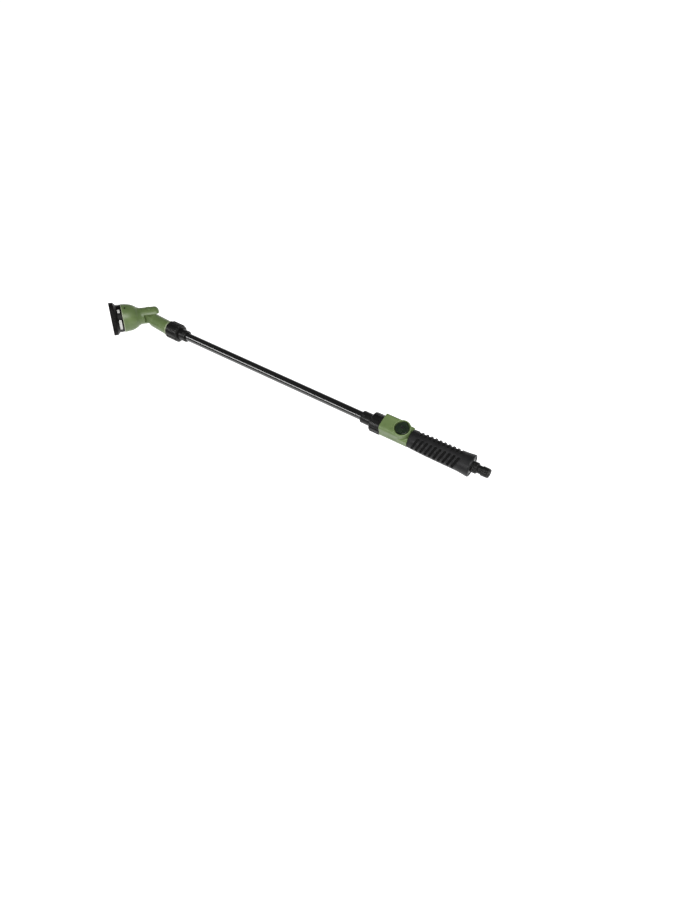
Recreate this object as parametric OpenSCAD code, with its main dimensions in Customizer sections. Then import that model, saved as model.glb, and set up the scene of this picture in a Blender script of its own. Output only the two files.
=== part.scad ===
// Watering lance: a tilting multi-pattern spray head on a long tube, with a handle that
// holds a ball valve, a slotted grip and a plug for a garden hose connector.
// The tube lies along X. The spray head is at -X, the hose plug at +X, the knob on +Z.
// The origin is on the tube's axis, at the front end of the plug's locking collar.

/* [Tube] */
// Outside diameter of the lance tube
tube_d = 16; // [13:0.1:20]
// Wall of the lance tube
tube_wall = 1.2; // [0.8:0.1:2]
// Length of tube seen between the two bushes
tube_seen = 414; // [200:1:900]
// Length of tube inside the head socket
tube_in_head = 24; // [18:0.5:30]
// Length of tube inside the valve socket
tube_in_valve = 14; // [12:0.5:16]

/* [Union nuts] */
// Outside diameter of both union nuts, over the ribs
nut_d = 36; // [34:0.5:46]
// Length of the nut on the head side
head_nut_len = 29; // [26:0.5:50]
// Length of the nut on the handle side
handle_nut_len = 23; // [18:0.5:35]
// Number of broad ribs round a nut
nut_ribs = 9; // [6:1:14]
// Width of a nut rib
nut_rib_w = 6.5; // [4:0.5:8]
// Height of a nut rib
nut_rib_h = 1.5; // [0.8:0.1:2]
// Wall of the threaded sockets round the tube
socket_wall = 4.6; // [3.5:0.1:5]
// Wall of the bushes round the tube
bush_wall = 3.3; // [2:0.1:3.6]
// Length of bush seen beside the head nut
head_bush_seen = 17.5; // [6:0.5:30]
// Length of bush seen beside the handle nut
handle_bush_seen = 20; // [6:0.5:30]

/* [Elbow] */
// Bend between the tube and the spray axis as assembled, in degrees
bend = 54; // [0:1:60]
// How far the head is turned about the tube as assembled, in degrees
head_roll = -24; // [-90:1:90]
// Distance from the pivot to the head nut, along the tube
tail_len = 73.5; // [66:0.5:90]
// Offset of the pivot from the tube's axis
pivot_offset = 12; // [6:0.5:13]
// Radius of the pivot pin
pivot_pin_r = 5; // [4:0.1:6]
// Radius of the knuckle's disc
knuckle_r = 15.2; // [12:0.1:15.4]
// Thickness of the knuckle
knuckle_t = 15; // [11:0.5:16]

/* [Spray head] */
// Radius of the neck
neck_r = 16.5; // [16:0.1:18.5]
// Largest radius of the bell
bell_r = 28; // [28:0.5:38]
// Distance from the pivot to the back of the bell
bell_back = 22; // [21.5:0.5:34]
// Length of the bell
bell_len = 31.5; // [28:0.5:44]
// Length of the pattern dial, front to back
dial_len = 22.5; // [20:0.5:28]
// Radius of the dial's front flange
dial_r = 33; // [33:0.5:46]
// Number of spray patterns
pattern_count = 6; // [6:1:6]
// Radius of the circle that the port and the patterns lie on
port_circle_r = 16.5; // [16:0.5:17]
// Radius of the water port
port_r = 3.6; // [2:0.1:4]

/* [Valve] */
// Length of the valve body between the nut and the grip
valve_len = 53.5; // [46:0.5:62]
// Radius of the valve body's round underside
valve_r = 17; // [15.5:0.1:20]
// Height of the valve body's flat deck above the axis
deck_h = 22; // [20.5:0.5:26]
// Radius of the ball
ball_r = 8.5; // [7.5:0.1:9]
// Radius of the water passage
bore_r = 4.4; // [3:0.1:4.8]
// Radius of the flow knob
knob_r = 12; // [10:0.1:14]
// Radius of the valve stem
stem_r = 3.9; // [3:0.1:4.5]

/* [Grip] */
// Length of the grip
grip_len = 114.5; // [94:0.5:160]
// Radius of the grip at the valve end
grip_front_r = 16.4; // [15.9:0.1:19]
// Radius of the grip in the middle
grip_mid_r = 18; // [17:0.1:22]
// Radius of the grip's flared end
grip_end_r = 19.7; // [18:0.1:24]
// Number of finger slots on each side
slot_count = 10; // [4:1:10]
// Spacing of the finger slots
slot_pitch = 8.3; // [6:0.1:8.4]
// Width of a finger slot
slot_w = 3; // [1.5:0.1:4]
// Lean of the slots, in degrees
slot_lean = 19; // [0:1:30]

/* [Hose plug] */
// Radius of the plug's locking collar, a standard size
plug_r = 8.5; // [8.5:0.1:8.5]
// Length of the locking collar
plug_collar_len = 10; // [8:0.5:12]
// Length of the locking groove behind the collar
plug_groove_len = 6; // [4:0.5:8]
// Length of the ribbed adaptor outside the grip
adaptor_len = 11; // [8:0.5:16]
// Radius of the ribbed adaptor
adaptor_r = 9.85; // [9.4:0.05:12]

/* [Hidden] */
$fn = 64;

// Clearances: a running fit, a gap between faces that move, and how far a cut overshoots
run = 0.05;
gap = 0.3;
over = 1;

black = [0.07, 0.07, 0.07];
green = [0.36, 0.45, 0.27];
rubber = [0.03, 0.03, 0.03];
steel = [0.7, 0.7, 0.72];

// Radii of the tube joints
tube_r = tube_d / 2;
socket_r = tube_r + run;
spigot_r = socket_r + socket_wall;
bush_r = tube_r + bush_wall;
lip = 2;
lip_bore_r = bush_r + 3 * run;
flange_t = 2.8;
flange_r = spigot_r - gap;
ring_cord = 0.75;
ring_groove_r = socket_r + 2 * ring_cord;

// Stations along the tube, from the plug towards the head
x_grip_end = -(plug_collar_len + plug_groove_len + adaptor_len);
x_grip_front = x_grip_end - grip_len;
x_valve_front = x_grip_front - valve_len;
x_handle_nut = x_valve_front - handle_nut_len;
x_handle_bush = x_handle_nut - handle_bush_seen;
x_head_bush = x_handle_bush - tube_seen;
x_head_nut = x_head_bush - head_bush_seen;
x_tail = x_head_nut - head_nut_len;
x_pivot = x_tail - tail_len;
flange_reach = lip + flange_t + 4 * run;
x_head_spigot = x_head_nut - flange_reach;
x_valve_spigot = x_handle_nut + flange_reach;
x_tube_head = x_head_spigot - tube_in_head;
x_tube_valve = x_valve_spigot + tube_in_valve;

// The head's own stations, from the pivot towards the spray face
bell_front = bell_back + bell_len;
dial_front = bell_front + dial_len;
neck_end = -(knuckle_r + 5.8);
neck_round = 8;
bend_most = 65;
slot_half = knuckle_t / 2 + gap;
slot_floor = knuckle_r + 0.8;
// The tail's full section starts just outside the sweep of the neck's rounded end
cheek_half = sqrt(pow(neck_r, 2) - pow(slot_half, 2));
tail_front = norm([-neck_end - neck_round, cheek_half - neck_round]) + neck_round + gap;
cap_r = 7;
cap_seat = neck_r - 2.9;
channel_r = 1.9;
channel_z = slot_half + channel_r + 0.6;
seat_x = bell_front - 10;
seat_r = bell_r - 3.6;
rim_r = bell_r - 2.4;
core_x = bell_front - 2;
core_r = rim_r - 0.4;
plate_x = dial_front - 6;
plate_front = dial_front - 0.8;
plate_r = dial_r - 3.3;
post_r = 4;
post_end = plate_front - 2.3;
screw_r = 1.6;
screw_head_r = 6.8;
band_r = bell_r - 0.5;
index_angle = -17;
index_r = 1.8;
index_x = bell_front - 7;
label_w = 6.6;
label_x = bell_front + 2.2;
label_turn = -14;
label_spans = [18, 46];

// Valve stations and heights
boss_wall = 2.2;
knob_well_r = knob_r + 1.5;
x_knob = x_grip_front - knob_well_r - boss_wall - run;
well_floor = deck_h - 5;
well_top = deck_h + 1.5;
chamber_r = ball_r + 1.4;
seat_reach = ball_r + 2;
seat_t = 5;
insert_r = chamber_r;
grip_spigot_len = 14;
grip_spigot_r = insert_r + 1.9;
core_out_r = grip_spigot_r + 2.6;
blade_w = 3;
blade_l = 6.4;
blade_bottom = ball_r - 2.2;
stem_shoulder = ball_r + 0.5;
stem_top = deck_h - 0.5;
pipe_r = bore_r + 1.4;
pipe_socket = 8;
shank_len = 19;
shank_r = adaptor_r - 1.35;
plug_thread_r = 6.9;
washer_t = 1;
nose_groove = 2.6;
nose_lip = 1.4;

// ---- shapes used by several pieces ----

module rod(x0, x1, r) {
    translate([x0, 0, 0]) rotate([0, 90, 0]) cylinder(h = x1 - x0, r = r);
}

module sleeve(x0, x1, outer, inner) {
    difference() {
        rod(x0, x1, outer);
        rod(x0 - over, x1 + over, inner);
    }
}

// A solid turned about X from [x, radius] points
module turned(points) {
    rotate([0, 90, 0]) rotate_extrude() polygon([for (p = points) [p[1], p[0]]]);
}

module o_ring(x, major, minor) {
    translate([x, 0, 0]) rotate([0, 90, 0])
        rotate_extrude() translate([major, 0]) circle(r = minor, $fn = 24);
}

// Places for the elbow and for the head, whose own X is the spray direction
module elbow_place() {
    translate([x_pivot, 0, 0]) rotate([head_roll, 0, 0]) children();
}

module head_place() {
    elbow_place() translate([0, pivot_offset, 0]) rotate([0, 0, 180 + bend]) children();
}

// ---- tube, bushes and union nuts ----

module lance_tube() {
    color(black) sleeve(x_tube_head, x_tube_valve, tube_r, tube_r - tube_wall);
}

// A flanged bush that a union nut pulls against its socket; dir points to the nut
module bush(x_seen, seen, dir) {
    translate([x_seen, 0, 0]) mirror([dir < 0 ? 1 : 0, 0, 0]) difference() {
        turned([
            [0, 0], [0, bush_r - 1], [1, bush_r], [seen + lip + run, bush_r],
            [seen + lip + run, flange_r], [seen + lip + run + flange_t, flange_r],
            [seen + lip + run + flange_t, 0]
        ]);
        rod(-over, seen + flange_reach + over, tube_r);
    }
}

module head_bush() {
    color(black) bush(x_head_bush, head_bush_seen, -1);
}

module handle_bush() {
    color(black) bush(x_handle_bush, handle_bush_seen, 1);
}

// A ribbed union nut with its lip at x = 0 and its mouth at x = len
module union_nut(len) {
    difference() {
        intersection() {
            turned([
                [0, 0], [0, nut_d / 2 - 2.5], [2.5, nut_d / 2], [len - 1.5, nut_d / 2],
                [len, nut_d / 2 - 1.5], [len, 0]
            ]);
            union() {
                rod(-over, len + over, nut_d / 2 - nut_rib_h);
                for (i = [0 : nut_ribs - 1])
                    rotate([i * 360 / nut_ribs, 0, 0]) translate([-over, -nut_rib_w / 2, spigot_r])
                        cube([len + 2 * over, nut_rib_w, nut_d / 2 + over - spigot_r]);
            }
        }
        rod(-over, len + over, lip_bore_r);
        rod(lip, len + over, spigot_r + run);
    }
}

module head_nut() {
    color(black) elbow_place() translate([tail_len + head_nut_len, 0, 0])
        mirror([1, 0, 0]) union_nut(head_nut_len - gap);
}

module handle_nut() {
    color(black) translate([x_handle_nut, 0, 0]) union_nut(handle_nut_len - gap);
}

// ---- elbow: tail with its knuckle, hollow pin, seals and caps ----

// The tail leans from the tube's axis towards the pivot, and a rim closes it at the nut
module tail_outside() {
    rim_x = tail_len - 5;
    reach = rim_x - tail_front;
    front_r = knuckle_r - 1.7;
    round = 2.5;
    translate([rim_x, 0, 0]) rotate([0, 0, -atan(pivot_offset / 3 / reach)]) turned(concat(
        [[2, 0], [-reach, 0]],
        [for (a = [0 : 15 : 90]) [-reach + round * (1 - cos(a)), front_r - round * (1 - sin(a))]],
        [[0, knuckle_r - 1], [2, knuckle_r - 1]]));
    turned([
        [rim_x + 0.6, 0], [rim_x + 0.6, knuckle_r - 1.6], [rim_x + 2, knuckle_r + 0.5],
        [tail_len, knuckle_r + 0.5], [tail_len, 0]
    ]);
}

module knuckle() {
    translate([0, 0, -knuckle_t / 2]) {
        translate([0, pivot_offset, 0]) cylinder(h = knuckle_t, r = knuckle_r);
        linear_extrude(knuckle_t) polygon([
            [-2, pivot_offset + knuckle_r - 1], [tail_front + 2, pivot_offset / 3 + knuckle_r - 6.5],
            [tail_front + 2, pivot_offset / 3 - knuckle_r + 6.5], [-2, pivot_offset - knuckle_r + 1]
        ]);
    }
}

module elbow_tail() {
    socket_end = x_tube_head - x_pivot - 0.5;
    spigot_end = x_head_spigot - x_pivot;
    duct_turn = socket_end - 6;
    color(green) elbow_place() difference() {
        union() {
            tail_outside();
            knuckle();
            rod(tail_len - 1, spigot_end, spigot_r);
        }
        rod(socket_end, spigot_end + over, socket_r);
        rod(duct_turn, socket_end + over, bore_r);
        translate([0, pivot_offset, 0]) rotate([0, 0, -atan(pivot_offset / duct_turn)])
            rod(0, norm([duct_turn, pivot_offset]) + 3, bore_r - 0.6);
        translate([0, pivot_offset, -knuckle_t])
            cylinder(h = 2 * knuckle_t, r = pivot_pin_r + run);
        rod(spigot_end - 8 - 2 * ring_cord, spigot_end - 8, ring_groove_r);
    }
}

module tail_seal() {
    spigot_end = x_head_spigot - x_pivot;
    color(rubber) elbow_place()
        o_ring(spigot_end - 8 - ring_cord, socket_r + ring_cord, ring_cord - 0.01);
}

// Hollow pin: water enters it from the knuckle and leaves into both cheeks of the neck
module pivot_pin() {
    color(black) head_place() difference() {
        translate([0, 0, -cap_seat]) cylinder(h = 2 * cap_seat, r = pivot_pin_r);
        translate([0, 0, -cap_seat + 1.2]) cylinder(h = 2 * cap_seat - 2.4, r = pivot_pin_r - 2.2);
        for (z = [-channel_z, 0, channel_z])
            translate([-pivot_pin_r - over, 0, z]) rotate([0, 90, 0])
                cylinder(h = 2 * (pivot_pin_r + over), r = channel_r - 0.3);
        for (side = [-1, 1])
            translate([0, 0, side * (slot_half - 2.3) - 1]) difference() {
                cylinder(h = 2, r = pivot_pin_r + over);
                translate([0, 0, -over]) cylinder(h = 2 + 2 * over, r = pivot_pin_r - 1.2);
            }
    }
}

module pivot_seals() {
    cord = 0.6;
    color(rubber) head_place()
        for (side = [-1, 1])
            translate([0, 0, side * (slot_half - 2.3)])
                rotate_extrude() translate([pivot_pin_r - 1.2 + cord, 0]) circle(r = cord, $fn = 24);
}

module pivot_caps() {
    color(green) head_place()
        for (side = [0, 1]) mirror([0, 0, side]) translate([0, 0, cap_seat]) {
            cylinder(h = 2, r = cap_r);
            translate([0, 0, 2]) cylinder(h = 0.8, r1 = cap_r, r2 = cap_r - 1.2);
        }
}

// ---- spray head ----

// Room for the knuckle, and for the tail from straight behind to its furthest bend
module fork_slot() {
    translate([0, 0, -slot_half]) linear_extrude(2 * slot_half) {
        circle(r = slot_floor);
        translate([neck_end - over, -bell_r]) square([4 - neck_end + over, 2 * bell_r]);
        rotate(-(180 + bend_most)) translate([-2, -knuckle_r - 0.3])
            rotate(-5) square([60, knuckle_r]);
    }
}

function bell_profile(steps) = [for (i = [0 : steps])
    [bell_back + bell_len * i / steps,
     neck_r + (bell_r - neck_r) * sin(90 * pow(i / steps, 0.62))]];

function neck_arc(steps) = [for (i = [0 : steps])
    [neck_end + neck_round * (1 - sin(90 * i / steps)),
     neck_r - neck_round * (1 - cos(90 * i / steps))]];

module head_bell() {
    color(green) head_place() difference() {
        turned(concat([[bell_front, 0], [neck_end, 0]],
            [for (i = [6 : -1 : 0]) neck_arc(6)[i]], bell_profile(20)));
        fork_slot();
        translate([0, 0, -neck_r - over]) cylinder(h = 2 * (neck_r + over), r = pivot_pin_r);
        for (side = [0, 1]) mirror([0, 0, side]) {
            translate([0, 0, cap_seat]) cylinder(h = 4, r = cap_r);
            translate([0, 0, channel_z]) rod(0, bell_back + 4, channel_r);
        }
        turned([
            [bell_back + 2, 0], [bell_back + 2, 13], [seat_x, seat_r - 2.4], [seat_x, seat_r],
            [seat_x + 6, seat_r], [seat_x + 6, rim_r], [bell_front + over, rim_r],
            [bell_front + over, 0]
        ]);
        translate([index_x, 0, 0]) rotate([index_angle, 0, 0])
            translate([0, 0, seat_r + 1.2]) cylinder(h = 5, r = index_r);
    }
}

module index_mark() {
    color(black) head_place() translate([index_x, 0, 0]) rotate([index_angle, 0, 0])
        translate([0, 0, seat_r + 1.2]) cylinder(h = bell_r - seat_r - 1.2, r = index_r);
}

// Fixed plate with one port, and the post that the dial turns on
module selector_plate() {
    color(black) head_place() difference() {
        union() {
            rod(seat_x, seat_x + 6, seat_r);
            rod(seat_x, post_end, post_r);
            rod(seat_x - 4, seat_x, 6);
        }
        rod(post_end - 12, post_end + over, screw_r);
        rotate([index_angle, 0, 0]) translate([0, 0, port_circle_r]) {
            rod(seat_x - over, seat_x + 6 + over, port_r);
            rod(seat_x + 4.8, seat_x + 6 + over, port_r + 1.6);
        }
    }
}

module port_seal() {
    color(rubber) head_place() rotate([index_angle, 0, 0]) translate([0, 0, port_circle_r])
        sleeve(seat_x + 4.8, core_x - run, port_r + 1.6, port_r);
}

module centre_screw() {
    color(steel) head_place() difference() {
        union() {
            rod(post_end - 11.5, post_end + 0.1, screw_r);
            rod(post_end + 0.1, post_end + 1.7, screw_head_r);
        }
        for (turn = [0, 90]) rotate([turn, 0, 0])
            translate([post_end + 0.9, -3, -0.5]) cube([2, 6, 1]);
    }
}

// ---- pattern dial ----

// Turns a copy of the children to each pattern's place round the dial
module each_pattern() {
    for (i = [0 : pattern_count - 1])
        rotate([index_angle + i * 360 / pattern_count, 0, 0]) children();
}

// Port disc with a walled chamber for each pattern
module dial_core() {
    wall = 1.8;
    disc_t = 3.2;
    color(black) head_place() difference() {
        union() {
            rod(core_x, core_x + disc_t, core_r);
            sleeve(core_x + disc_t, plate_x, core_r, core_r - wall);
            rod(core_x + disc_t, plate_x, post_r + 3);
            each_pattern() rotate([180 / pattern_count, 0, 0])
                translate([core_x + disc_t, -wall / 2, post_r + 2])
                    cube([plate_x - core_x - disc_t, wall, core_r - post_r - 3]);
        }
        rod(core_x - over, plate_x + over, post_r + run);
        each_pattern() translate([0, 0, port_circle_r])
            rod(core_x - over, core_x + disc_t + over, port_r);
    }
}

module dial_ring() {
    back = bell_front + 0.4;
    cone_x = dial_front - 13;
    rim_x = dial_front - 8;
    color(black) head_place() turned([
        [back, core_r], [back, band_r - 0.4], [back + 0.4, band_r], [cone_x, band_r],
        [rim_x, dial_r - 0.4], [rim_x + 0.6, dial_r], [dial_front - 0.8, dial_r],
        [dial_front, dial_r - 0.8], [dial_front, plate_r], [plate_x, plate_r], [plate_x, core_r]
    ]);
}

// A ring of count drilled holes about a point on the face
module hole_ring(count, ring_r, r) {
    for (i = [0 : count - 1])
        rotate([i * 360 / count, 0, 0]) translate([0, 0, ring_r])
            rod(plate_x - over, plate_front + over, r);
}

module pattern_holes(index) {
    through = plate_front - plate_x + 2 * over;
    if (index == 0) {
        hole_ring(1, 0, 0.6);
        hole_ring(6, 3, 0.6);
        hole_ring(12, 5.2, 0.6);
    }
    if (index == 1) hole_ring(1, 0, 1.7);
    if (index == 2) sleeve(plate_front - 1.6, plate_front + over, 4.8, 3.6);
    if (index == 2) hole_ring(6, 4.2, 0.55);
    if (index == 3) hole_ring(5, 4.2, 0.7);
    if (index == 4) translate([plate_x - over, -6, -0.7]) cube([through, 12, 1.4]);
    if (index == 5) hole_ring(8, 4.4, 1);
}

module spray_plate() {
    color(black) head_place() difference() {
        rod(plate_x, plate_front, plate_r);
        rod(plate_x - over, plate_front, post_r + run);
        rod(post_end, plate_front + over, screw_head_r + 0.4);
        for (i = [0 : pattern_count - 1])
            rotate([index_angle + i * 360 / pattern_count, 0, 0])
                translate([0, 0, port_circle_r]) pattern_holes(i);
    }
}

// Pale pads on the dial's band, long and short in turn, one at each pattern
module pattern_labels() {
    pad_t = 0.35;
    color("white") head_place() for (i = [0 : pattern_count - 1])
        rotate([index_angle + label_turn + i * 360 / pattern_count, 0, 0]) {
            span = label_spans[i % 2];
            translate([label_x, 0, 0]) rotate([0, 90, 0]) rotate([0, 0, 180 - span / 2])
                rotate_extrude(angle = span) translate([band_r, 0]) square([pad_t, label_w]);
        }
}

// ---- valve ----

// Section of the valve body across the tube: round below, a rounded deck above
module valve_section() {
    corner = 6;
    circle(r = valve_r);
    for (side = [-1, 1]) translate([side * (valve_r - 0.5 - corner), deck_h - corner]) circle(r = corner);
    translate([-(valve_r - 0.5), 0]) square([2 * valve_r - 1, deck_h - corner]);
    translate([-(valve_r - 0.5 - corner), 0]) square([2 * (valve_r - 0.5 - corner), deck_h]);
}

module valve_body() {
    boss_out = knob_well_r + boss_wall;
    color(green) difference() {
        union() {
            difference() {
                translate([x_valve_front, 0, 0]) rotate([90, 0, 90]) linear_extrude(valve_len) valve_section();
                // the deck ends in a half circle round the knob
                difference() {
                    translate([x_knob, -valve_r - over, valve_r * 0.55])
                        cube([valve_len, 2 * (valve_r + over), deck_h]);
                    translate([x_knob, 0, 0]) cylinder(h = deck_h + 2, r = boss_out);
                }
            }
            translate([x_knob, 0, 0]) cylinder(h = well_top, r = boss_out - 0.01);
            rod(x_valve_spigot, x_valve_front + over, spigot_r);
            rod(x_grip_front - over, x_grip_front + grip_spigot_len, grip_spigot_r);
        }
        rod(x_valve_spigot - over, x_tube_valve + 0.5, socket_r);
        rod(x_tube_valve, x_knob, bore_r);
        rod(x_valve_spigot + 4, x_valve_spigot + 4 + 2 * ring_cord, ring_groove_r);
        rod(x_knob - seat_reach, x_grip_front + grip_spigot_len + over, chamber_r);
        translate([x_knob, 0, 0]) cylinder(h = well_top, r = stem_r + run);
        translate([x_knob, 0, well_floor]) cylinder(h = well_top, r = knob_well_r);
    }
}

module tube_seal() {
    color(rubber)
        o_ring(x_valve_spigot + 4 + ring_cord, socket_r + ring_cord, ring_cord - 0.01);
}

// The ball stands closed: its bore lies across the tube
module valve_ball() {
    color(steel) translate([x_knob, 0, 0]) difference() {
        sphere(r = ball_r);
        rotate([90, 0, 0]) cylinder(h = 3 * ball_r, r = bore_r, center = true);
        translate([-blade_w / 2, -ball_r, blade_bottom]) cube([blade_w, 2 * ball_r, ball_r]);
    }
}

module ball_seats() {
    color("white") for (side = [0, 1]) translate([x_knob, 0, 0]) mirror([side, 0, 0])
        difference() {
            rod(-seat_reach, -seat_reach + seat_t, chamber_r);
            rod(-seat_reach - over, 0, bore_r);
            sphere(r = ball_r + run);
        }
}

module valve_stem() {
    color(steel) translate([x_knob, 0, 0]) difference() {
        union() {
            translate([-blade_w / 2, -blade_l / 2, blade_bottom])
                cube([blade_w, blade_l, stem_shoulder - blade_bottom + over]);
            translate([0, 0, stem_shoulder + 0.4]) cylinder(h = stem_top - stem_shoulder - 0.4, r = stem_r);
        }
        translate([0, 0, stem_top - 5]) cylinder(h = 6, r = 1.2);
        translate([0, 0, well_floor - 3.2]) difference() {
            cylinder(h = 1.6, r = stem_r + over);
            translate([0, 0, -over]) cylinder(h = 4, r = stem_r - 1.2);
        }
        // flats that drive the knob
        for (side = [0, 1]) mirror([side, 0, 0])
            translate([stem_r - 0.9, -stem_r, well_floor + gap]) cube([2, 2 * stem_r, deck_h]);
    }
}

module stem_seal() {
    cord = 0.6;
    color(rubber) translate([x_knob, 0, well_floor - 2.4])
        rotate_extrude() translate([stem_r - 1.2 + cord, 0]) circle(r = cord, $fn = 24);
}

module flow_knob() {
    base = well_floor + gap;
    bar_w = 8;
    bar_top = well_top + 2;
    color([0.1, 0.13, 0.09]) translate([x_knob, 0, 0]) difference() {
        union() {
            translate([0, 0, base]) cylinder(h = 4, r = knob_r);
            translate([0, 0, base + 4]) cylinder(h = 0.8, r1 = knob_r, r2 = knob_r - 0.8);
            intersection() {
                translate([-bar_w / 2, -knob_r, base]) cube([bar_w, 2 * knob_r, bar_top - base]);
                translate([0, 0, base]) cylinder(h = bar_top - base, r = knob_r - 0.8);
            }
        }
        intersection() {
            translate([0, 0, base - over]) cylinder(h = stem_top - base + over, r = stem_r);
            translate([-stem_r + 0.9, -stem_r, base - over])
                cube([2 * stem_r - 1.8, 2 * stem_r, stem_top - base + over]);
        }
        translate([0, 0, stem_top - over]) cylinder(h = deck_h, r = 1.2);
        translate([0, 0, bar_top - 1.6]) cylinder(h = 4, r = 2.6);
    }
}

module knob_screw() {
    bar_top = well_top + 2;
    color(steel) translate([x_knob, 0, 0]) difference() {
        union() {
            translate([0, 0, stem_top - 4.8]) cylinder(h = bar_top - 1.6 - stem_top + 4.8, r = 1.2);
            translate([0, 0, bar_top - 1.6]) cylinder(h = 1.2, r = 2.6);
        }
        for (turn = [0, 90]) rotate([0, 0, turn])
            translate([-1.5, -0.3, bar_top - 1]) cube([3, 0.6, 2]);
    }
}

// Screwed-in piece that holds the seats and the inner pipe
module valve_insert() {
    end = x_grip_front + grip_spigot_len;
    color(black) difference() {
        rod(x_knob + seat_reach, end, insert_r);
        rod(x_knob, end + over, bore_r);
        rod(end - pipe_socket, end + over, pipe_r);
    }
}

module water_tube() {
    start = x_grip_front + grip_spigot_len - pipe_socket;
    color("white") sleeve(start, x_grip_end - shank_len + 6, pipe_r, bore_r);
}

// ---- grip ----

function grip_r(x) = lookup(x - x_grip_front, [
    [0, grip_front_r], [grip_len * 0.08, grip_front_r + 0.6],
    [grip_len * 0.3, grip_mid_r - 0.2], [grip_len * 0.6, grip_mid_r],
    [grip_len * 0.82, grip_mid_r + 0.1], [grip_len * 0.91, (grip_mid_r + grip_end_r) / 2],
    [grip_len * 0.985, grip_end_r], [grip_len, grip_end_r - 0.5]
]);

module grip_core() {
    color(black) sleeve(x_grip_front, x_grip_end - 4, core_out_r, grip_spigot_r);
}

module grip_sleeve() {
    cut_r = grip_front_r - 0.9;
    slot_first = 14;
    slot_up = 39;
    slot_half_l = 12;
    stations = [0, 0.04, 0.08, 0.19, 0.3, 0.45, 0.6, 0.82, 0.865, 0.91, 0.95, 0.985, 1];
    color(black) difference() {
        turned(concat([[x_grip_end, core_out_r], [x_grip_front, core_out_r]],
            [for (s = stations) [x_grip_front + s * grip_len, grip_r(x_grip_front + s * grip_len)]]));
        for (side = [0, 1]) mirror([0, side, 0]) intersection() {
            for (i = [0 : slot_count - 1])
                translate([x_grip_front + slot_first + i * slot_pitch, 0, 0])
                    rotate([90 - slot_up, 0, 0]) rotate([0, 0, -slot_lean])
                        translate([-slot_w / 2, -slot_half_l, 0]) cube([slot_w, 2 * slot_half_l, 2 * grip_end_r]);
            sleeve(x_grip_front, x_grip_end, grip_end_r + 5, cut_r);
        }
    }
}

module grip_end_cap() {
    color(black) sleeve(x_grip_end - 4, x_grip_end - 0.6, core_out_r, shank_r);
}

// ---- hose inlet ----

module hose_adaptor() {
    face = x_grip_end + adaptor_len;
    back = x_grip_end - shank_len;
    flutes = 12;
    color(black) difference() {
        union() {
            turned([
                [x_grip_end, 0], [x_grip_end, adaptor_r - 0.6], [x_grip_end + 1.5, adaptor_r],
                [face - 3, adaptor_r], [face - 1, adaptor_r - 1.2], [face, adaptor_r - 1.6], [face, 0]
            ]);
            rod(back, x_grip_end + over, shank_r);
        }
        rod(back - over, back + 6, pipe_r);
        rod(back, face, bore_r);
        rod(x_grip_end, face + over, plug_thread_r);
        for (i = [0 : flutes - 1]) rotate([i * 360 / flutes, 0, 0])
            translate([0, 0, adaptor_r + 0.5]) rod(x_grip_end - over, face - 2, 1.1, $fn = 20);
    }
}

module adaptor_washer() {
    color(rubber) sleeve(x_grip_end, x_grip_end + washer_t, plug_thread_r, bore_r);
}

// Quick-connect plug with a locking groove and a sealing nose
module hose_plug() {
    groove_r = plug_r - 1.25;
    nose_r = plug_r - 2.4;
    lip_r = plug_r - 1.1;
    color(black) difference() {
        turned([
            [x_grip_end + washer_t, 0], [x_grip_end + washer_t, plug_thread_r],
            [x_grip_end + adaptor_len, plug_thread_r], [x_grip_end + adaptor_len, groove_r],
            [-plug_collar_len, groove_r], [-plug_collar_len, plug_r], [0, plug_r], [0, nose_r],
            [nose_groove, nose_r], [nose_groove, lip_r], [nose_groove + nose_lip, lip_r - 0.4],
            [nose_groove + nose_lip, 0]
        ]);
        rod(x_grip_end - over, nose_groove + nose_lip + over, bore_r);
    }
}

// The seal stays just inside the collar's radius, so that a socket slides past it
module plug_seal() {
    cord = (2.4 - 0.1) / 2;
    color(rubber) o_ring(nose_groove / 2, plug_r - 2.4 + cord, cord - 0.01);
}

module inlet_filter() {
    t = 1;
    color(steel) difference() {
        rod(1, 1 + t, bore_r);
        for (ring = [1, 2], i = [0 : 6 * ring - 1])
            rotate([i * 60 / ring, 0, 0]) translate([0, 0, 1.6 * ring]) rod(0, 3, 0.5, $fn = 16);
    }
}

lance_tube();
head_bush();
handle_bush();
head_nut();
handle_nut();
elbow_tail();
tail_seal();
pivot_pin();
pivot_seals();
pivot_caps();
head_bell();
index_mark();
selector_plate();
port_seal();
centre_screw();
dial_core();
dial_ring();
spray_plate();
pattern_labels();
valve_body();
tube_seal();
valve_ball();
ball_seats();
valve_stem();
stem_seal();
flow_knob();
knob_screw();
valve_insert();
water_tube();
grip_core();
grip_sleeve();
grip_end_cap();
hose_adaptor();
adaptor_washer();
hose_plug();
plug_seal();
inlet_filter();
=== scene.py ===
"""Garden watering lance: a tilting pattern head on a long tube, a ball valve and a slotted grip."""
import math

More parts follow.
